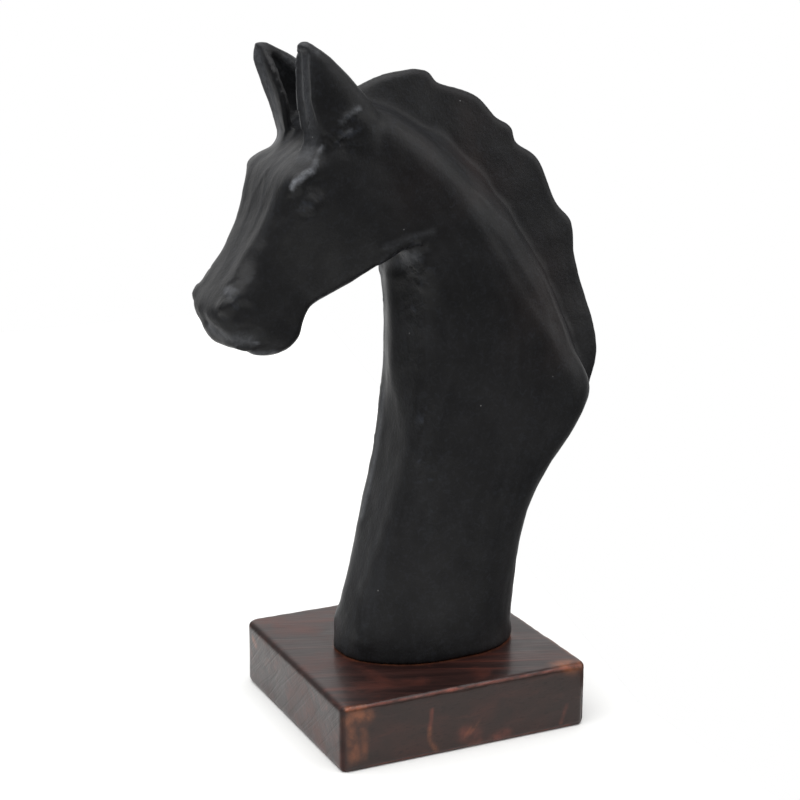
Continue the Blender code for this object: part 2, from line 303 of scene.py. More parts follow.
def readPatterns(tree, look, places):
    # What coats and bumps go by: attributes of the mesh, and noises, each read at its place
    read = {"all": 1}
    for name in look["zones"]:
        read[name] = addNode(tree, "ShaderNodeAttribute", attribute_name=name).outputs["Fac"]
    for name, (where, across, detail, roughness, distortion) in look["patterns"].items():
        read[name] = addNode(tree, "ShaderNodeTexNoise", {
            "Vector": places[where], "Scale": 1 / (across * mm), "Detail": detail, "Roughness": roughness,
            "Distortion": distortion}).outputs[0]
    return read


def layCoats(tree, look, read):
    # Each coat of colour lies over the ones before it, as far as its pattern and its zone let it.
    # How much of it shows can then be read under its name.
    colour = toLinear(look[look["first"]])
    for coat, (pattern, start, full, least, most, zone, name) in look["coats"].items():
        level = addNode(tree, "ShaderNodeMapRange", {
            "Value": read[pattern], "From Min": start, "From Max": full, "To Min": least, "To Max": most})
        share = addNode(tree, "ShaderNodeMath", {0: level.outputs[0], 1: read[zone]}, operation="MULTIPLY")
        read[coat] = share.outputs[0]
        mixed = addNode(tree, "ShaderNodeMix", {
            0: share.outputs[0], 6: colour, 7: toLinear(look[name])}, data_type="RGBA")
        colour = mixed.outputs[2]
    return colour


def layBumps(tree, look, read):
    # Relief too fine for the mesh: pattern, zone, mm deep. Below zero the pattern sinks in.
    bump = None
    for pattern, zone, depth in look["bumps"]:
        height = addNode(tree, "ShaderNodeMath", {0: read[pattern], 1: read[zone]}, operation="MULTIPLY")
        under = {"Normal": bump.outputs[0]} if bump else {}
        bump = addNode(tree, "ShaderNodeBump", {
            "Height": height.outputs[0], "Distance": abs(depth) * mm, "Strength": 1, **under},
            invert=depth < 0)
    return bump.outputs[0]


# Black paint on papier-mache: water-based black emulsion, brushed by hand over pulp and torn paper.
# It dries satin and a little dusty: charcoal rather than jet, with streaks from the brush, a faint
# grey on the ridges where it is rubbed, and a trace of brown where it went on thin. A broken grey is
# also painted where light catches the form, as painted highlights.

brushedBlack = {
    "deep": "#151516",
    "body": "#1d1d1e",
    "rubbed": "#34373e",
    "brownTinge": "#2a1d1a",
    "speck": "#8c8c8c",
    # the grey of the painted highlights
    "highlightGrey": "#8e9197",
    "roughness": (0.36, 0.5),
    "specular": 0.18,           # below the usual 0.5, as dusty paint shines less than its IOR says
    "streakStretch": 0.05,      # width of a brush mark, as a share of its length
    "speckSpacing": 13,         # mm
    "bumps": [("pulp", "all", 0.13), ("creases", "crumple", 0.5), ("bristles", "combed", 0.024)],
    "zones": ["relief", "tinge", "combed", "crumple", "paintedHighlight"],  # attributes of the mesh
    # Noises: where each is read, mm across a grain of it, detail, roughness, distortion
    "patterns": {
        "bristles": ("brush", 0.9, 2, 0.6, 0),
        "broad": ("brush", 4.0909, 3, 0.55, 0),
        "blotches": ("piece", 22, 4, 0.55, 0),
        "pulp": ("piece", 1.5, 3, 0.6, 0),
        "tinges": ("piece", 45, 2, 0.5, 0),
        "creases": ("piece", 2.6, 3, 0.5, 1.2),
    },
    "first": "deep",            # the colour under the coats
    # Coats: pattern, where in it the coat starts and is full, how much of the coat shows at each,
    # the zone it keeps to, colour
    "coats": {
        "cloud": ("blotches", 0.35, 0.65, 0, 1, "all", "body"),
        "streaks": ("broad", 0.5, 0.75, 0, 0.15, "combed", "rubbed"),
        "ridges": ("relief", 0.62, 0.95, 0, 0.5, "all", "rubbed"),
        "thinPaint": ("tinges", 0.42, 0.68, 0, 0.5, "tinge", "brownTinge"),
        "mottle": ("creases", 0.5, 0.75, 0, 0.2, "all", "rubbed"),
        # Painted highlights: grey laid along the paths where light catches the form
        "paintedHighlights": ("creases", 0.3, 0.6, 0.5, 1, "paintedHighlight", "highlightGrey"),
        "specks": ("dust", 0.018, 0.034, 0.5, 0, "dusty", "speck"),
    },
}


def makePaint():
    look = brushedBlack
    material = newMaterial("brushedBlackEmulsion")
    tree = material.node_tree
    spot = addNode(tree, "ShaderNodeTexCoord").outputs["Object"]
    flow = addNode(tree, "ShaderNodeAttribute", attribute_name="flow").outputs["Vector"]
    stretched = addNode(tree, "ShaderNodeMapping", {"Vector": flow, "Scale": (1, 1, look["streakStretch"])})
    read = readPatterns(tree, look, {"piece": spot, "brush": stretched.outputs[0]})
    # One speck to a cell, and only where the blotches are lightest
    read["dust"] = addNode(tree, "ShaderNodeTexVoronoi", {
        "Vector": spot, "Scale": 1 / (look["speckSpacing"] * mm), "Randomness": 1},
        feature="F1").outputs["Distance"]
    read["dusty"] = addNode(tree, "ShaderNodeMapRange", {
        "Value": read["blotches"], "From Min": 0.5, "From Max": 0.56}).outputs[0]
    low, high = look["roughness"]
    gloss = addNode(tree, "ShaderNodeMapRange", {
        "Value": read["broad"], "From Min": 0.3, "From Max": 0.7, "To Min": low, "To Max": high})
    shader = addNode(tree, "ShaderNodeBsdfPrincipled", {
        "Base Color": layCoats(tree, look, read), "Roughness": gloss.outputs[0], "IOR": 1.5,
        "Specular IOR Level": look["specular"], "Normal": layBumps(tree, look, read)})
    addNode(tree, "ShaderNodeOutputMaterial", {"Surface": shader.outputs[0]})
    return material


# Horse head

horseHead = {
    "cell": 1.18,               # mm across a face of the skin
    "relaxRounds": 26,          # takes out the facets of the solid
    "earRelaxRounds": 8,
    "softenRounds": 60,
    "shavedRounds": 3,          # over the whole skin, once the ears' fronts and the lip are shaved
    "shavedEarRounds": 8,
    "earHollowRounds": 40,
    "fullness": 0.25,           # mm that the skin stands out over the solid
    "earsFrom": 284,            # mm up
    "earsBack": -25,            # y behind which there is no ear
    "footDrop": 0.9,            # mm that the foot is drawn down
    "footDropReach": 5,
    "footAt": 31.85,            # mm up: the foot stands in its glue on the block
    "relief": {                 # across and up, in metres
        "Lump Size": 17 * mm, "Lump Height": 0.34 * mm,
        "Patch Size": 24 * mm, "Patch Edge": 0.1 * mm,
        "Brush Width": 3.4 * mm, "Brush Height": 0.02 * mm, "Brush Stretch": 0.07,
        "Crumple Size": 5.5 * mm, "Crumple Height": 0.55 * mm,
        "Seed": 4,
    },
}
# A step in and a step out take out facets and keep the form. Steps in alone round it off.
keepForm = (0.5, -0.52)
roundOff = (0.5,)

# Middle line of the head as (y, z), from the foot over the poll to the lips. The brush followed it.
brushLine = [
    (6, 20), (7, 60), (18, 100), (30, 140), (38, 168), (36, 196), (24, 224), (6, 250), (-14, 268),
    (-36, 274), (-52, 262), (-62, 242), (-76, 220), (-94, 196), (-104, 182),
]

# Strokes of the modelling tool: path in mm on the left side, reach, push along the skin
# (+ raises, - presses in), and the shares of the path over which it fades in and out.
toolStrokes = {
    "noseEdge": ([(29.5, -62, 272), (29.5, -68, 266), (27, -73, 258), (24, -76.5, 249), (21.5, -80.5, 240),
                  (20.5, -86, 230), (21, -91, 222)], 10, -0.25, (0.2, 0.2)),
    "earPit": ([(28, -54, 285), (27.5, -52.5, 282.5)], 2.6, -0.8, (0, 0)),
    "foldAbove": ([(29, -38.9, 296.1), (30.4, -44.3, 293.9), (30.2, -48, 290.6), (29.9, -49.7, 288)],
                  2.8, 0.7, (0.3, 0.3)),
    "foldAboveGroove": ([(29.5, -40, 292), (30, -45.5, 290.3), (29.9, -48.8, 286.8)], 2.4, -0.5, (0.3, 0.3)),
    "foldBelow": ([(29.1, -43.7, 286.8), (29.1, -48.5, 284.4), (28.3, -51, 282.3)], 2.5, 0.7, (0.3, 0.2)),
    "foldBelowGroove": ([(29, -43.5, 283), (28.8, -49, 281.3)], 2.4, -0.6, (0.3, 0.2)),
    "browEdge": ([(26.3, -55.8, 279.3), (26, -57.6, 275.9), (29.7, -61.5, 271.4), (30.6, -68, 267.6),
                  (29.5, -70.9, 264.6), (27.5, -72, 260.9)], 2.6, 0.95, (0.2, 0.2)),
    "innerEyeHollow": ([(28.2, -70.9, 259.6), (26.2, -72.5, 256), (25.4, -73.2, 251.1), (25.3, -74.2, 246.4)],
                       3.4, -0.9, (0.2, 0.4)),
    "eyeball": ([(28.6, -66.5, 255), (29.4, -62.2, 255.4)], 6, 0.55, (0, 0)),
    "eyeRing": ([(27.5, -68.8, 255.5), (28.5, -67.3, 259), (29.3, -63.9, 260.2), (29.9, -60.4, 259.2),
                 (29.9, -58.3, 255.6), (28.2, -59.8, 251.5), (27.6, -63.8, 249.9), (27.8, -67.6, 252),
                 (27.5, -68.8, 255.5)], 1.9, -0.4, (0, 0)),
    "lidLine": ([(28, -68, 254), (29.2, -64.8, 253.6), (29.9, -60.4, 254.6)], 1.5, -0.3, (0.1, 0.2)),
    "noseRidgeOne": ([(-4.8, -61.6, 275.2), (0.7, -69.1, 270), (-1.6, -73.2, 263.8), (-5.2, -75.7, 255.8),
                      (-5.8, -79, 246.9), (-5.2, -82.3, 240.5), (-2.8, -86.1, 234.4)], 2, 0.14, (0.3, 0.3)),
    "noseRidgeTwo": ([(7.6, -63.3, 274.1), (11.4, -69.6, 269.6), (10.2, -73.5, 262.6), (7.5, -75.9, 255.3),
                      (7.3, -78.8, 247.5), (8.3, -83.1, 239.1)], 2, 0.1, (0.3, 0.3)),
    "noseRidgeThree": ([(16, -66, 270), (17.5, -73.5, 262), (15.5, -76.5, 253.5), (15, -80, 244.9),
                        (14, -86, 234)], 2.4, 0.1, (0.3, 0.3)),
    "nostrilLine": ([(13.1, -96.6, 218.6), (15.7, -94.7, 220.7), (17.8, -92.7, 222.3), (20.2, -90.4, 222.5)],
                    1.8, -0.35, (0.2, 0.3)),
    "nostrilKnob": ([(16, -97, 217.3), (18.3, -96.3, 216.9), (21.9, -93.4, 216)], 3.2, 0.55, (0.2, 0.2)),
    "nostrilWing": ([(17.9, -101.9, 209.3), (19.9, -99.7, 212.1), (20, -96.9, 214.6)], 2.6, 0.5, (0.2, 0.2)),
    "nostrilPit": ([(14.6, -102.1, 206), (17.9, -100.6, 206.5), (19.5, -98.4, 206.6)], 3, -0.5, (0.3, 0.3)),
    "nostrilHollow": ([(20.8, -95.5, 213.3), (21.8, -93.2, 211.5), (20.6, -90.8, 209)],
                      4.4, -0.5, (0.2, 0.3)),
    "lipCrease": ([(0, -103, 204.2), (4.9, -102.9, 204.1), (13.3, -102.2, 203.5), (17.9, -99.2, 202.8),
                   (20.5, -94.2, 201), (19.3, -88.2, 198.9), (18.4, -82.2, 197.2)], 2.4, -0.15, (0, 0.3)),
    "neckKeel": ([(1, -8, 228), (1, -6.5, 205), (1, -6, 185), (1, -7, 165), (1, -10, 145)],
                 17, 2, (0.15, 0.4)),
    "lipCorner": ([(0, -97.8, 193.8), (8, -97.3, 193.5), (14, -95, 193.2)], 7.5, 0.55, (0, 0.3)),
    "upperLipEdge": ([(9.5, -96.9, 193.1), (14.5, -95, 193.1), (17.3, -92.2, 193.4), (17.2, -87.5, 193.6),
                      (16.9, -84.1, 193.2), (15.3, -81.1, 190.5)], 2, 0.75, (0.2, 0.3)),
    "mouthLine": ([(0, -90.5, 190), (8, -90, 190.6), (13, -87.4, 190.9), (15.6, -82.4, 190.2),
                   (15.5, -76, 191.6)], 2, -0.3, (0, 0.3)),
    "lowerLip": ([(12.6, -87.8, 189.2), (12.6, -83, 187.9), (13.7, -78.7, 187.6), (14, -74.5, 187.7)],
                 2.4, 0.5, (0.2, 0.3)),
    "jawRidge": ([(24.3, -31.3, 230.1), (26.1, -25.8, 233.6), (27.2, -18.9, 235), (27.7, -11.7, 236.8),
                  (29.1, -1.4, 238.6)], 2.8, 0.8, (0.3, 0.3)),
    "jawGroove": ([(25.3, -26.9, 228.5), (25.5, -20.6, 229.2), (25.8, -9.4, 232), (29.2, -5, 235.7),
                   (29, 1.2, 238.8)], 2.6, -0.9, (0.3, 0.3)),
    "footFlare": ([(7, -35.6, 43), (15, -32, 43), (22, -25, 43)], 10, 1.5, (0.5, 0.5)),
    "throatFoldOne": ([(20, -17, 222), (23.5, -10, 219), (26, -2, 219)], 2.6, 0.5, (0.3, 0.4)),
    "throatFoldTwo": ([(18, -12, 216), (22.5, -7, 213), (26, 0, 211)], 2.6, 0.4, (0.3, 0.4)),
}

# These strokes are on the left side alone. The others are on both sides.
leftOnly = ("foldAbove", "foldAboveGroove", "foldBelow", "foldBelowGroove", "browEdge", "earPit",
            "nostrilKnob")

# The front of each ear is a long flat face. Each row is a height and the face's inner and outer
# edge there as (x, y). The rest of an ear is behind it.
leftEarFront = [
    (270, (13, -66), (28, -60.5)), (275.5, (13, -62.9), (28.2, -57)), (280, (13, -60.7), (28.4, -55)),
    (284, (13, -60.2), (28.6, -54.6)), (292, (13, -61.2), (29, -57.8)), (300, (13, -61.9), (29.2, -60.5)),
    (308, (13.3, -62.1), (29.2, -61)), (314, (14.3, -62.6), (28.8, -61.3)),
    (318, (16.4, -63.3), (28, -61.3)), (321, (19.2, -64.4), (27, -61.6)), (323, (22, -64.8), (26, -62)),
]
rightEarFront = [
    (268, (-11, -67.5), (-27, -62)), (274, (-10.5, -63.6), (-28, -58.2)),
    (279, (-10, -59.8), (-28.2, -55.6)), (283, (-10, -57.9), (-28.4, -55.4)),
    (289, (-10, -58.7), (-28.6, -56.9)), (295, (-10, -59.4), (-28.6, -58.9)),
    (300, (-10.5, -60.3), (-28.6, -61)), (305, (-11.5, -62), (-28.6, -62.8)),
    (310, (-13.2, -63), (-28.6, -64.7)), (314, (-16, -63.4), (-28.4, -66.4)),
    (318, (-19.5, -64.2), (-27.6, -66.8)), (320.5, (-22.6, -63), (-26.5, -64.4)),
]
# Marks down each ear's front: share of the way across from the inner edge, reach, push
leftEarMarks = [(0.03, 2.2, 0.5), (0.3, 2.8, -0.5), (0.52, 2.4, 0.3), (0.76, 2.4, -0.25), (0.97, 2, 0.12)]
rightEarMarks = [(0.45, 3.2, -0.2), (0.85, 2.2, 0.15)]

# The shoulder along the crest on the left side, from the poll down: its lower edge (y, z), its upper
# edge (y, z) against the mane, and (half width, outward y, outward z)
crestRows = [
    ((-20, 276), (-9, 289), (25, 0.6, 0.8)), ((1, 262), (12, 279.5), (28, 0.56, 0.83)),
    ((24, 246), (31, 261), (28, 0.56, 0.83)), ((37, 233), (45, 243.5), (28, 0.7, 0.7)),
    ((53, 209), (64, 215), (28, 0.81, 0.59)), ((59.5, 193), (73.5, 197), (28, 0.93, 0.36)),
    ((67, 174.5), (82, 178), (28, 0.95, 0.3)), ((72, 163), (87, 165), (27, 0.95, 0.3)),
]

# Where the paper skin is crumpled: (x, y, z, radius, strength), left side first
crumpledSpots = [
    (29, -47, 287, 17, 0.8), (28, -64, 255, 12, 0.7), (22, -14, 224, 22, 0.9), (16, -8, 200, 16, 0.6),
    (18, -8, 180, 14, 0.35), (26, -4, 150, 15, 0.6), (26, -5, 128, 16, 0.7), (28, -6, 105, 15, 0.5),
    (20, -97, 211, 8, 0.5), (14, -80, 190, 9, 0.3), (24, -64, 300, 9, 0.3),
]
# Where the form is worked smooth and round
softenedSpots = [
    (0, -70, 269, 22, 1), (14, -69, 269, 18, 1), (26, -72, 260, 11, 1), (24, -76, 249, 11, 1),
    (22, -80, 240, 11, 1), (21, -86, 230, 10, 1), (22, -6, 200, 16, 1), (22, -6, 185, 16, 1),
    (22, -6, 170, 16, 1), (22, -7, 155, 16, 1), (22, -9, 140, 16, 1), (23, -11, 125, 16, 1),
    (24, -14, 110, 16, 1), (25, -18, 95, 16, 1), (26, -24, 78, 16, 1), (28, -31, 60, 16, 1),
    (20, -61.5, 276, 9, 1), (14, -60, 278, 8, 1), (25.5, -58, 277, 7, 0.9), (14, -8, 286, 16, 0.8),
    (14, 8, 275, 14, 0.8), (14, 28, 258, 14, 0.8), (14, 44, 240, 14, 0.8), (14, 53, 226, 14, 0.8),
    (14, 62, 212, 14, 0.8), (14, 70, 196, 14, 0.8), (14, 77, 180, 13, 0.8), (14, 82, 166, 12, 0.7),
    (0, -102, 204, 7, 0.4), (10, -101, 203, 7, 0.4), (18, -97, 202, 6, 0.3),
]
# Inside each ear, just behind the front's outer edge, right side first
earHollowSpots = [
    (-22.5, -60, 312, 4, 1), (-23, -58.5, 309.5, 4.5, 1), (-23.5, -57, 306.5, 5, 1),
    (-24, -55.5, 302.5, 5, 1), (-24.2, -54, 299.5, 5, 1), (-24, -52.6, 295.5, 5, 1),
    (-23.9, -52.5, 292, 5, 1), (-22.7, -51.8, 288, 5, 1), (-23, -53, 284, 5, 1),
]
# Painted highlights: a broken grey painted where light catches the brow, ear rims and folds, lips,
# jaw fold, throat and the neck's front rim, and painted light on the chin and inside the ears
paintedHighlightPaths = {
    "browTop": ([(26.6, -55, 279.8), (26, -57.6, 275.9), (29, -60.3, 272.5), (30.4, -62.3, 270.2)], 1.9, 0.5),
    "browLow": ([(30.4, -62.3, 270.2), (30.6, -65.2, 269.1), (30.9, -68.2, 266.8), (29.8, -70.5, 265.5),
                 (28.5, -71.4, 262.8)], 2.2, 0.75),
    "earFold": ([(29, -38.9, 296.1), (30.4, -44.3, 293.9), (30.2, -48, 290.6)], 1.8, 0.3),
    "earFoldLow": ([(29.1, -43.7, 286.8), (29.1, -48.5, 284.4)], 1.8, 0.25),
    "earTip": ([(27, -60.5, 319.5), (27.4, -58.5, 320)], 2.4, 0.5),
    "leftEar": ([(21, -61, 278), (21.5, -61.5, 300), (23, -63, 321)], 9.5, 0.16),
    "chin": ([(8, -74, 184), (8, -62, 183), (8, -52, 188)], 9, 0.14),
    "leftEarEdge": ([(13.2, -61.2, 284), (13, -62, 300), (14.3, -62.8, 313), (18, -64, 319.5)], 1.9, 0.3),
    "rightEar": ([(-21, -57, 278), (-22, -61, 300), (-25.5, -66, 317)], 8, 0.24),
    "earHollow": ([(-15, -48, 284), (-16, -50, 298), (-19, -55, 309)], 10, 0.1),
    "knob": ([(15.5, -97, 218), (18.5, -95.5, 216.5), (19, -94.5, 213)], 4, 0.2),
    "lip": ([(2, -100.5, 199), (12, -98.5, 198), (16.5, -93, 196), (15.5, -88, 195)], 6, 0.2),
    "jawFold": ([(26.1, -25.8, 233.9), (27.2, -18.9, 235.4), (27.7, -11.7, 237.2), (29, -3, 239)], 2.8, 0.07),
    "throat": ([(-5, -9, 220.6), (1.5, -9, 220.3), (13, -9.7, 223.7), (22, -8.5, 227.5)], 5, 0.24),
    "neckRim": ([(-17.5, -7.5, 226), (-17.5, -6.5, 205), (-18, -6, 185), (-17, -6.6, 168)], 7, 0.24),
    "neckRimLow": ([(-14, -8, 155), (-14.5, -13, 125), (-13, -20, 95)], 4, 0.2),
    "upperLip": ([(14.5, -95, 193.1), (17.3, -92.2, 193.4), (17.2, -87.5, 193.6), (16.9, -84.1, 193.2)],
                 1.7, 0.3),
    "lowerLip": ([(11, -88, 188.5), (13, -83, 187.5), (14, -75, 187.5)], 2.4, 0.3),
}
# Where the paint is thin and brownish
tingedSpots = [(20, 20, 270, 60, 1), (25, 60, 200, 50, 0.7), (20, 45, 45, 45, 0.9), (-20, 40, 150, 60, 0.6)]


def mirrored(spots):
    return spots + [(-spot[0], *spot[1:]) for spot in spots]


def relaxSkin(points, edges, rounds, weight, steps=keepForm):
    # Each point goes towards the mean of its neighbours, or away from it, by its weight
    count = len(points)
    ends = np.concatenate([edges, edges[:, ::-1]])
    degree = np.bincount(ends[:, 0], minlength=count)[:, None]
    for _ in range(rounds):
        for step in steps:
            mean = np.column_stack([
                np.bincount(ends[:, 0], weights=points[ends[:, 1], axis], minlength=count)
                for axis in range(3)])
            points = points + (mean / degree - points) * step * weight[:, None]
    return points


def pressStroke(points, normals, path, reach, push, fade):
    # One stroke of the tool, deepest along its path
    index, distance, place = nearPath(points, path, reach)
    strength = (1 - np.clip(distance / reach, 0, 1) ** 2) ** 2
    for share, length in ((place, fade[0]), (1 - place, fade[1])):
        if length:
            strength = strength * smoothStep(share / length)
    points[index] += normals[index] * (push * strength)[:, None]


def loftRings(mesh, rings):
    # A closed body through rings of points in millimetres
    made = [[mesh.verts.new(Vector(point) * mm) for point in ring] for ring in rings]
    faces = [mesh.faces.new(made[0]), mesh.faces.new(made[-1])]
    for below, above in zip(made, made[1:]):
        for i in range(len(below)):
            j = (i + 1) % len(below)
            faces.append(mesh.faces.new((below[i], below[j], above[j], above[i])))
    bmesh.ops.recalc_face_normals(mesh, faces=faces)


def earRings(rows):
    # A slab behind the flat face of an ear, thinner towards the tip
    rings = []
    for z, (innerX, innerY), (outerX, outerY) in rows:
        depth = min(3, 0.8 + 0.4 * (rows[-1][0] - z))
        rings.append([(innerX, innerY, z), (outerX, outerY, z), (outerX, outerY + depth, z),
                      (innerX, innerY + depth, z)])
    return rings


def crestRings(rows, side):
    # The rounded shoulder between the side of the neck and the upright mane. Each section runs up
    # the outside, over to the mane, and back under the skin.
    rings = []
    for (y0, z0), (y1, z1), (width, outY, outZ) in rows:
        out = np.array([outY, outZ]) / math.hypot(outY, outZ)
        low, high = np.array([y0, z0]), np.array([y1, z1])
        section = [(width + 1.4, *(low - 9 * out)), (width + 0.5, *(low - 3 * out)),
                   (width - 3, *(0.78 * low + 0.22 * high + 1.6 * out)),
                   (width - 11, *(0.4 * low + 0.6 * high + 1.8 * out)), (7, *high), (6, *(high - 16 * out)),
                   (width - 12, *(low - 10 * out))]
        rings.append([(side * x, y, z) for x, y, z in section])
    return rings


def shaveEarFront(points, rows):
    # Nothing of the ear stands out in front of its flat face, or of a strip beside the face
    heights = [row[0] for row in rows]
    inner = [np.interp(points[:, 2], heights, [row[1][k] for row in rows]) for k in (0, 1)]
    outer = [np.interp(points[:, 2], heights, [row[2][k] for row in rows]) for k in (0, 1)]
    across = (points[:, 0] - inner[0]) / (outer[0] - inner[0])
    front = inner[1] + np.clip(across, -0.2, 1.25) * (outer[1] - inner[1])
    beside, deepest = 0.35, 9
    here = (across > -beside) & (across < 1 + beside) & (points[:, 1] < front) & (
        points[:, 1] > front - deepest)
    rise, drop = points[:, 2] - heights[0], heights[-1] - points[:, 2]
    fade = smoothStep((rise - 3) / 7) * smoothStep((drop + 1) / 4)
    points[:, 1] += np.where(here, (front - points[:, 1]) * fade, 0)


def markEarFront(points, normals, rows, marks):
    for share, reach, push in marks:
        path = []
        for z, inner, outer in rows[3:]:
            x, y = inner + share * (np.array(outer) - inner)
            path.append((x, y, z))
        pressStroke(points, normals, path, reach, push, (0.2, 0.25))


def shaveLip(points):
    # The upper lip slopes in under its crease, all round the muzzle
    x, y, z = points.T
    crease, halfWidth, slope = 203, 20.5, 0.5
    limit = halfWidth - slope * (crease - z)
    underCrease = smoothStep((crease + 1 - z) / 4)
    overMouth = smoothStep((z - 189.5) / 3)
    onMuzzle = smoothStep((-79 - y) / 8)
    over = np.maximum(np.abs(x) - limit, 0) * (underCrease * overMouth * onMuzzle)
    points[:, 0] -= np.sign(x) * over


def brushFlow(points):
    # Own coordinates of the brush marks in metres: across the middle line, sideways, and along it
    line = smoothPath(brushLine)
    flat = points[:, 1:]
    distance, place = nearestOnPath(flat, line)
    steps = np.linalg.norm(np.diff(line, axis=0), axis=1)
    length = np.concatenate([[0], np.cumsum(steps)])
    whole = place * (len(line) - 1)
    along = np.interp(whole, np.arange(len(line)), length)
    base = np.column_stack([np.interp(whole, np.arange(len(line)), line[:, k]) for k in (0, 1)])
    i = np.clip(whole.astype(int), 0, len(line) - 2)
    run = line[i + 1] - line[i]
    side = np.sign(run[:, 0] * (flat - base)[:, 1] - run[:, 1] * (flat - base)[:, 0])
    return np.column_stack([distance * side, points[:, 0], along]) * mm


def makeReliefTree():
    tree = newTree("papierMacheRelief", horseHead["relief"], "Paint")
    given = addNode(tree, "NodeGroupInput").outputs
    place = addNode(tree, "GeometryNodeInputPosition").outputs[0]
    flow, combing, crumple = [
        addNode(tree, "GeometryNodeInputNamedAttribute", {"Name": name}, data_type=kind).outputs[0]
        for name, kind in (("flow", "FLOAT_VECTOR"), ("combed", "FLOAT"), ("crumple", "FLOAT"))]
    squash = addNode(tree, "ShaderNodeCombineXYZ", {0: 1, 1: 1, 2: given["Brush Stretch"]})
    combed = addNode(tree, "ShaderNodeVectorMath", {0: flow, 1: squash.outputs[0]}, operation="MULTIPLY")

    # Soft lumps left by the hand, ridges of thick paint along the brush, and creases where the wet
    # paper bunched up: input for the size, input for the height, where the noise is read, its
    # detail and distortion, how far from its middle value it is full, and how much is left in a zone
    pushes = []
    for size, height, where, detail, distortion, spread, zone in [
            ("Lump Size", "Lump Height", place, 1.5, 0, 0.25, 1),
            ("Brush Width", "Brush Height", combed.outputs[0], 1.5, 0, 0.2, combing),
            ("Crumple Size", "Crumple Height", place, 2, 0.8, 0.2, crumple)]:
        scale = addNode(tree, "ShaderNodeMath", {0: 1, 1: given[size]}, operation="DIVIDE")
        noise = addNode(tree, "ShaderNodeTexNoise", {
            "Vector": where, "W": given["Seed"], "Scale": scale.outputs[0], "Detail": detail,
            "Distortion": distortion}, noise_dimensions="4D")
        level = addNode(tree, "ShaderNodeMapRange", {
            "Value": noise.outputs[0], "From Min": 0.5 - spread, "From Max": 0.5 + spread,
            "To Min": -1, "To Max": 1}, clamp=False)
        share = addNode(tree, "ShaderNodeMath", {0: level.outputs[0], 1: zone}, operation="MULTIPLY")
        push = addNode(tree, "ShaderNodeMath", {
            0: share.outputs[0], 1: given[height]}, operation="MULTIPLY")
        pushes.append(push.outputs[0])
    lumpPush, ridgePush, creasePush = pushes

    # Torn pieces of paper that overlap
    patchScale = addNode(tree, "ShaderNodeMath", {0: 1, 1: given["Patch Size"]}, operation="DIVIDE")
    wobble = addNode(tree, "ShaderNodeTexNoise", {
        "Vector": place, "W": given["Seed"], "Scale": 120, "Detail": 2}, noise_dimensions="4D")
    wobbled = addNode(tree, "ShaderNodeVectorMath", {
        0: wobble.outputs["Color"], 1: (8 * mm, 8 * mm, 8 * mm), 2: place}, operation="MULTIPLY_ADD")
    patches = addNode(tree, "ShaderNodeTexVoronoi", {
        "Vector": wobbled.outputs[0], "W": given["Seed"], "Scale": patchScale.outputs[0],
        "Smoothness": 0.12}, voronoi_dimensions="4D", feature="SMOOTH_F1")
    patchLevel = addNode(tree, "ShaderNodeSeparateXYZ", {0: patches.outputs["Color"]})
    patchPush = addNode(tree, "ShaderNodeMath", {
        0: patchLevel.outputs[0], 1: given["Patch Edge"]}, operation="MULTIPLY")

    fine = addNode(tree, "ShaderNodeMath", {0: ridgePush, 1: creasePush}, operation="ADD")
    coarse = addNode(tree, "ShaderNodeMath", {0: lumpPush, 1: patchPush.outputs[0]}, operation="ADD")
    push = addNode(tree, "ShaderNodeMath", {0: fine.outputs[0], 1: coarse.outputs[0]}, operation="ADD")
    raised = addNode(tree, "ShaderNodeMapRange", {
        "Value": fine.outputs[0], "From Min": -0.3 * mm, "From Max": 0.3 * mm})
    noted = addNode(tree, "GeometryNodeStoreNamedAttribute", {
        "Geometry": given["Geometry"], "Name": "relief", "Value": raised.outputs[0]},
        data_type="FLOAT", domain="POINT")
    return endTree(tree, noted.outputs[0], push.outputs[0], given["Paint"])


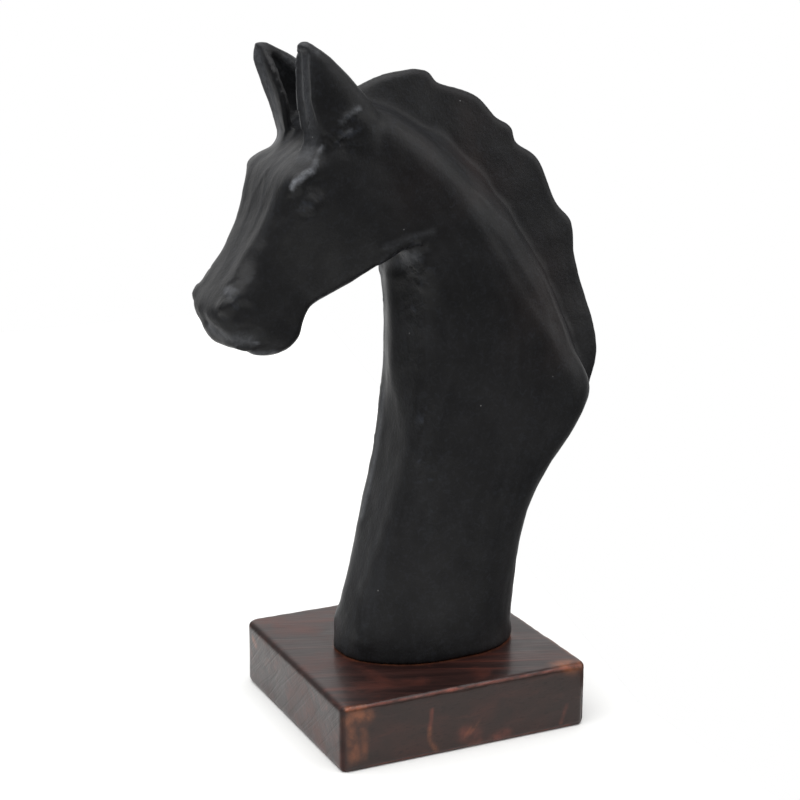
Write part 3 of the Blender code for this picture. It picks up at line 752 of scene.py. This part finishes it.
def makeHorseHead(paint):
    size = horseHead
    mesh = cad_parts["horse_head"].data.copy()
    merged = bmesh.new()
    merged.from_mesh(mesh)
    bmesh.ops.remove_doubles(merged, verts=merged.verts, dist=1e-6)
    for rings in (earRings(leftEarFront), earRings(rightEarFront),
                  crestRings(crestRows, 1), crestRings(crestRows, -1)):
        loftRings(merged, rings)
    merged.to_mesh(mesh)
    merged.free()
    mesh.materials.clear()
    head = addObject("paperHorseHead", mesh)
    skin = head.modifiers.new("skin", "REMESH")
    skin.mode = "VOXEL"
    skin.voxel_size = size["cell"] * mm
    settle(head)

    mesh = head.data
    points = readPoints(mesh)
    edges = np.empty(len(mesh.edges) * 2, np.int32)
    mesh.edges.foreach_get("vertices", edges)
    edges = edges.reshape(-1, 2)
    everywhere = np.ones(len(points))
    onEars = smoothStep((points[:, 2] - size["earsFrom"]) / 6) * (points[:, 1] < size["earsBack"])
    points = relaxSkin(points, edges, size["earRelaxRounds"], everywhere)
    points = relaxSkin(points, edges, size["relaxRounds"] - size["earRelaxRounds"], 1 - onEars)
    softened = softSpots(points, mirrored(softenedSpots))
    points = relaxSkin(points, edges, size["softenRounds"], softened, roundOff)
    for rows in (leftEarFront, rightEarFront):
        shaveEarFront(points, rows)
    shaveLip(points)
    points = relaxSkin(points, edges, size["shavedRounds"], everywhere)
    points = relaxSkin(points, edges, size["shavedEarRounds"], onEars)
    hollows = softSpots(points, mirrored(earHollowSpots))
    points = relaxSkin(points, edges, size["earHollowRounds"], hollows, roundOff)
    writePoints(mesh, points)
    points += readNormals(mesh) * size["fullness"]
    writePoints(mesh, points)
    print("head skin", len(points), "points")

    normals = readNormals(mesh)
    for name, (path, reach, push, fade) in toolStrokes.items():
        for side in (1,) if name in leftOnly else (1, -1):
            pressStroke(points, normals, [(side * x, y, z) for x, y, z in path], reach, push, fade)
    markEarFront(points, normals, leftEarFront, leftEarMarks)
    markEarFront(points, normals, rightEarFront, rightEarMarks)
    writePoints(mesh, points)
    print("tool strokes", len(toolStrokes))

    storeAttribute(mesh, "flow", brushFlow(points))
    # The brush left fainter marks where the skin faces sideways
    sideways = np.abs(readNormals(mesh)[:, 0])
    storeAttribute(mesh, "combed", 1 - 0.8 * smoothStep((sideways - 0.5) / 0.35))
    # How much painted highlight each point takes, from the paths where light catches the form
    storeAttribute(mesh, "paintedHighlight", softPaths(points, paintedHighlightPaths))
    storeAttribute(mesh, "crumple", softSpots(points, mirrored(crumpledSpots)))
    storeAttribute(mesh, "tinge", softSpots(points, tingedSpots))
    runTree(head, makeReliefTree(), {**size["relief"], "Paint": paint})

    # The head keeps to the box of its solid, and its foot is drawn down flat on to the block
    mesh = head.data
    points = readPoints(mesh)
    low, high = [np.array(corner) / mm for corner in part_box("horse_head")]
    points = low + (points - points.min(0)) * (high - low) / (points.max(0) - points.min(0))
    rise = points[:, 2] - low[2]
    points[:, 2] -= size["footDrop"] * smoothStep(1 - rise / size["footDropReach"])
    points[:, 2] = np.maximum(points[:, 2], size["footAt"])
    writePoints(mesh, points)
    mesh.shade_smooth()
    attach(head, "root")
    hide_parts("horse_head")
    mesh.calc_loop_triangles()
    print("horse head", len(mesh.loop_triangles), "triangles")


makeHorseHead(makePaint())


# Wooden block: a sawn offcut of a coarse hardwood such as mango, stained dark brown and varnished
# by hand. The varnish is glossy, the stain is rubbed back to copper along the edges, and the
# figure shows as warm streaks along the grain, with curved marks on the end grain.

woodBlock = {
    "cell": 1.0,                # mm across a face of the mesh
    "rounding": 2.5,
    "corners": {(-1, -1): 7, (1, -1): 3.2, (1, 1): 4.6, (-1, 1): 5},  # radius, by signs of x and y
    "edgeWear": 3.5,            # mm from an edge that the nicks reach
    "footRing": (1.8, 0.2),     # mm round the foot where the stain is rubbed, and how much
    "seatAt": (0, 5),           # middle of the part under the head, which is left flat
    "seatHalf": (30, 46),
    "seatFade": 6,
    "wear": {                   # across and in, in metres
        "Wave Size": 38 * mm, "Wave Depth": 0.35 * mm,
        "Nick Size": 7 * mm, "Nick Depth": 0.55 * mm,
        "Seed": 2,
    },
}
stainedWood = {
    "dark": "#190e0d",
    "stain": "#2e1b18",
    "warm": "#54291f",
    "copper": "#a4623f",
    "red": "#8e4838",
    # the long sides' plainer brown, darker partly as painted shade
    "shadedSideBrown": "#281c18",
    "roughness": (0.28, 0.42, 0.8),  # from the glossiest to the plainest, and where it is dull
    "specular": 0.24,
    "varnish": 0.22,
    "varnishRoughness": 0.16,
    "grainTurn": 20,            # degrees from the block's length
    "grainStretch": 0.09,       # width of a streak of the figure, as a share of its length
    "ringSpacing": 9,           # mm
    "poreLength": 9, "poreWidth": 0.5,
    "sawTurn": 39,              # degrees that the lines on the end face lean
    "sawStretch": 0.08,
    "bumps": [("pores", "all", -0.08), ("figure", "all", 0.12), ("sawLines", "all", -0.3)],
    "zones": ["rub", "red", "dull", "endGrain", "sides"],
    "first": "dark",
    # Noises and coats, each row as in the paint's
    "patterns": {
        "figure": ("grain", 7, 5, 0.6, 0.6),
        "cloud": ("piece", 26, 3, 0.55, 0.4),
        "pores": ("pores", 1, 2, 0.5, 0),
        "scrapes": ("piece", 5, 4, 0.5, 0),
        "sawing": ("saw", 4, 3, 0.5, 0.5),
    },
    "coats": {
        "stainFigure": ("figure", 0.32, 0.55, 0, 1, "all", "stain"),
        "warmFigure": ("figure", 0.55, 0.78, 0, 1, "all", "warm"),
        "growthRings": ("rings", 0.1, 0.9, 0, 0.45, "all", "dark"),
        "warmCloud": ("cloud", 0.5, 0.72, 0, 0.5, "all", "warm"),
        # The long sides are plainer and darker: their side grain, and partly painted shade
        "plainShadedSides": ("sides", 0, 1, 0, 0.65, "all", "shadedSideBrown"),
        "openPores": ("pores", 0.58, 0.72, 0, 0.6, "all", "dark"),
        "sawLines": ("sawing", 0.5, 0.7, 0, 0.7, "endGrain", "dark"),
        "rubbedEdges": ("scrapes", 0.36, 0.62, 0.3, 1, "rub", "copper"),
        "redLines": ("scrapes", 0.36, 0.62, 0.3, 1, "red", "red"),
        "dullEdges": ("dull", 0, 1, 0, 0.75, "all", "dark"),
    },
}
# Where the stain is rubbed through to copper: path, reach, strength
rubbedPaths = {
    "cornerStripe": ([(61.5, -61, 25), (61.5, -59.5, 18), (61.5, -57.5, 7)], 5, 0.34),
    "secondStripe": ([(61.5, -53.5, 20), (61.5, -52.5, 13), (61.5, -53.5, 6)], 3.2, 0.2),
    "frontPatch": ([(61.5, -58, 27), (61.5, -52, 26)], 6, 0.42),
    "edgeStart": ([(60.8, -61, 31.6), (61, -52, 31.6)], 2.4, 0.6),
    "curvedMark": ([(61.5, -19.6, 14), (61.5, -19.4, 8), (61.5, -16, 2)], 1.8, 0.34),
    "slantMarkOne": ([(61.5, 1, 7), (61.5, 6, 13)], 1.1, 0.22),
    "slantMarkTwo": ([(61.5, -2, 6), (61.5, 2, 11)], 1, 0.16),
    "backCorner": ([(59, 61, 32), (57, 50, 32), (60, 56, 31)], 6.5, 0.45),
    "backEdge": ([(50, 63, 31.5), (20, 63.5, 31.5), (-30, 63.5, 31.5)], 3, 0.45),
    "farEdge": ([(-61, -40, 31.5), (-61, 10, 31.5), (-61, 55, 31.5)], 3, 0.45),
    "endSpot": ([(-50, -64, 25), (-47, -64, 23.5)], 3, 0.5),
    "backSmear": ([(20, 64, 20), (14, 64, 9)], 7, 0.4),
    "farSmear": ([(-61.5, 8, 18), (-61.5, 16, 7)], 8, 0.35),
}
# Thin red lines where the varnish has gone from an edge, and one painted glint in the same red on the top
# edge
redPaths = {
    "topEdge": ([(60.9, -61, 31.2), (61, 0, 31.2), (60.9, 60, 31.2)], 1.1, 0.42),
    # a painted glint on the top edge, laid in red
    "paintedEdgeGlint": ([(61.2, -12, 31.5), (61.2, -6, 31.5)], 1.6, 1),
    "frontBit": ([(58, -63.2, 31.4), (48, -63.4, 31.4)], 1.2, 0.3),
    "markTop": ([(61.5, -18.6, 23), (61.5, -19.6, 14)], 1.6, 0.3),
    "smudge": ([(61.5, -2, 8), (61.5, 3, 6), (61.5, 4, 3)], 6.5, 0.26),
    "lowSmudge": ([(61.5, 13, 2), (61.5, 21, 3)], 5, 0.28),
    "backLine": ([(61.5, 53, 12), (61.5, 50, 3)], 1.6, 0.2),
    "bottomEdge": ([(61.3, -50, 0.7), (61.3, 55, 0.7)], 1.2, 0.4),
}
# Edges left dull and dark
dullPaths = {
    "endEdge": ([(-60, -63.3, 31.3), (0, -63.3, 31.3), (60, -63.3, 31.3)], 2.6, 1),
    "frontCorner": ([(60.8, -63.3, 1), (60.8, -63.3, 30)], 2.2, 1),
}


def roundedBox(low, high, radius, cell):
    # A box of even small faces, with its edges rounded
    middle, half = (low + high) / 2, (high - low) / 2
    mesh = bmesh.new()
    bend = radius * np.tan(np.radians([0, 15, 30, 45])) / np.tan(np.radians(45))
    for axis in range(3):
        across, upward = (axis + 1) % 3, (axis + 2) % 3
        lines = []
        for k in (across, upward):
            inner = half[k] - radius
            body = np.linspace(-inner, inner, max(2, round(2 * inner / cell)) + 1)
            lines.append(np.concatenate([-inner - bend[:0:-1], body, inner + bend[1:]]))
        for side in (1, -1):
            grid = []
            for u in lines[0]:
                row = []
                for v in lines[1]:
                    point = np.zeros(3)
                    point[axis], point[across], point[upward] = side * half[axis], u, v
                    core = np.clip(point, radius - half, half - radius)
                    out = point - core
                    place = middle + core + out / np.linalg.norm(out) * radius
                    row.append(mesh.verts.new(place * mm))
                grid.append(row)
            for i in range(len(grid) - 1):
                for j in range(len(grid[0]) - 1):
                    corners = [grid[i][j], grid[i + 1][j], grid[i + 1][j + 1], grid[i][j + 1]]
                    mesh.faces.new(corners if side == 1 else corners[::-1])
    bmesh.ops.remove_doubles(mesh, verts=mesh.verts, dist=1e-6)
    data = bpy.data.meshes.new("box")
    mesh.to_mesh(data)
    mesh.free()
    return data


def roundCorners(points, middle, half, corners):
    # Each upright corner gets its own radius, seen from above
    plan, centre, reach = points[:, :2], middle[:2], half[:2]
    for signs, radius in corners.items():
        out = (plan - centre) * signs - (reach - radius)
        here = np.all(out > 0, axis=1)
        share = out[here].max(axis=1) / np.linalg.norm(out[here], axis=1)
        plan[here] = centre + (reach - radius + out[here] * share[:, None]) * signs


def makeWood():
    look = stainedWood
    material = newMaterial("stainedVarnishedWood")
    tree = material.node_tree
    spot = addNode(tree, "ShaderNodeTexCoord").outputs["Object"]
    turned = addNode(tree, "ShaderNodeMapping", {
        "Vector": spot, "Rotation": (0, 0, math.radians(look["grainTurn"])), "Location": (0.02, 0, 0.05)})
    along = addNode(tree, "ShaderNodeMapping", {
        "Vector": turned.outputs[0], "Scale": (1, look["grainStretch"], 1)})
    poreSpace = addNode(tree, "ShaderNodeMapping", {
        "Vector": turned.outputs[0], "Scale": (1, look["poreWidth"] / look["poreLength"], 1)})
    slanted = addNode(tree, "ShaderNodeMapping", {
        "Vector": spot, "Rotation": (0, math.radians(look["sawTurn"]), 0)})
    drawn = addNode(tree, "ShaderNodeMapping", {
        "Vector": slanted.outputs[0], "Scale": (look["sawStretch"], 1, 1)})
    read = readPatterns(tree, look, {
        "piece": spot, "grain": along.outputs[0], "pores": poreSpace.outputs[0], "saw": drawn.outputs[0]})
    read["rings"] = addNode(tree, "ShaderNodeTexWave", {
        "Vector": along.outputs[0], "Scale": 1 / (look["ringSpacing"] * mm) / 2, "Distortion": 3.5,
        "Detail": 2, "Detail Scale": 1.2}, wave_type="RINGS", rings_direction="Y").outputs["Fac"]
    colour = layCoats(tree, look, read)

    low, high, dullest = look["roughness"]
    gloss = addNode(tree, "ShaderNodeMapRange", {
        "Value": read["cloud"], "From Min": 0.3, "From Max": 0.7, "To Min": low, "To Max": high})
    dullGloss = addNode(tree, "ShaderNodeMix", {0: read["dull"], 2: gloss.outputs[0], 3: dullest})
    varnish = addNode(tree, "ShaderNodeMapRange", {
        "Value": read["dull"], "To Min": look["varnish"], "To Max": 0})
    shader = addNode(tree, "ShaderNodeBsdfPrincipled", {
        "Base Color": colour, "Roughness": dullGloss.outputs[0], "IOR": 1.5,
        "Specular IOR Level": look["specular"], "Coat Weight": varnish.outputs[0],
        "Coat Roughness": look["varnishRoughness"], "Normal": layBumps(tree, look, read)})
    addNode(tree, "ShaderNodeOutputMaterial", {"Surface": shader.outputs[0]})
    return material


def makeBlockTree():
    tree = newTree("handSawnBlock", woodBlock["wear"], "Finish")
    given = addNode(tree, "NodeGroupInput").outputs
    place = addNode(tree, "GeometryNodeInputPosition").outputs[0]
    edge, seat = [
        addNode(tree, "GeometryNodeInputNamedAttribute", {"Name": name}, data_type="FLOAT").outputs[0]
        for name in ("edge", "seat")]

    # A slow wave from the saw over all of it, and nicks along the edges
    depths = []
    for kind, detail, start, zone in [("Wave", 1, 0.25, 1), ("Nick", 2, 0.35, edge)]:
        scale = addNode(tree, "ShaderNodeMath", {0: 1, 1: given[kind + " Size"]}, operation="DIVIDE")
        noise = addNode(tree, "ShaderNodeTexNoise", {
            "Vector": place, "W": given["Seed"], "Scale": scale.outputs[0], "Detail": detail},
            noise_dimensions="4D")
        level = addNode(tree, "ShaderNodeMapRange", {
            "Value": noise.outputs[0], "From Min": start, "From Max": 0.75})
        share = addNode(tree, "ShaderNodeMath", {0: level.outputs[0], 1: zone}, operation="MULTIPLY")
        depth = addNode(tree, "ShaderNodeMath", {
            0: share.outputs[0], 1: given[kind + " Depth"]}, operation="MULTIPLY")
        depths.append(depth.outputs[0])
    both = addNode(tree, "ShaderNodeMath", {0: depths[0], 1: depths[1]}, operation="ADD")

    away = addNode(tree, "ShaderNodeMath", {0: 1, 1: seat}, operation="SUBTRACT")
    shown = addNode(tree, "ShaderNodeMath", {0: both.outputs[0], 1: away.outputs[0]}, operation="MULTIPLY")
    inward = addNode(tree, "ShaderNodeMath", {0: shown.outputs[0], 1: -1}, operation="MULTIPLY")
    return endTree(tree, given["Geometry"], inward.outputs[0], given["Finish"])


def makeWoodBlock(finish):
    size = woodBlock
    low, high = [np.array(corner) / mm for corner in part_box("wood_block")]
    block = addObject("stainedWoodBlock", roundedBox(low, high, size["rounding"], size["cell"]))
    points = readPoints(block.data)
    middle, half = (low + high) / 2, (high - low) / 2
    depth = np.sort(half - np.abs(points - middle), axis=1)
    edge = smoothStep(1 - depth[:, 1] / size["edgeWear"])
    roundCorners(points, middle, half, size["corners"])
    writePoints(block.data, points)

    # The stain is rubbed round the foot, where glue was wiped off
    foot = readPoints(bpy.data.objects["paperHorseHead"].data)
    foot = foot[foot[:, 2] < high[2] + 1]
    footPoints = KDTree(len(foot))
    for i, place in enumerate(foot):
        footPoints.insert(place, i)
    footPoints.balance()
    topFrom, far = high[2] - 2, 99
    gap = np.array([footPoints.find(point)[2] if point[2] > topFrom else far for point in points])
    reach, strength = size["footRing"]
    rub = np.maximum(softPaths(points, rubbedPaths), strength * smoothStep(1 - gap / reach))

    # The block stays flat under the head, and on its underside
    x, y, z = points.T
    inside = np.array(size["seatHalf"]) - np.abs(points[:, :2] - size["seatAt"])
    seat = smoothStep(inside / size["seatFade"]).prod(axis=1) * (z > middle[2])
    seat = np.maximum(seat, z < 1)
    storeAttribute(block.data, "edge", edge)
    storeAttribute(block.data, "seat", seat)
    storeAttribute(block.data, "rub", rub)
    storeAttribute(block.data, "red", softPaths(points, redPaths))
    storeAttribute(block.data, "dull", softPaths(points, dullPaths))
    storeAttribute(block.data, "endGrain", np.abs(y - middle[1]) > half[1] - 0.5)
    # The long sides, which take the plainer brown that is partly painted shade
    storeAttribute(block.data, "sides", np.abs(x - middle[0]) > half[0] - 0.5)
    runTree(block, makeBlockTree(), {**size["wear"], "Finish": finish})
    block.data.shade_smooth()
    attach(block, "root")
    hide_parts("wood_block")
    block.data.calc_loop_triangles()
    print("wood block", len(block.data.loop_triangles), "triangles")


makeWoodBlock(makeWood())
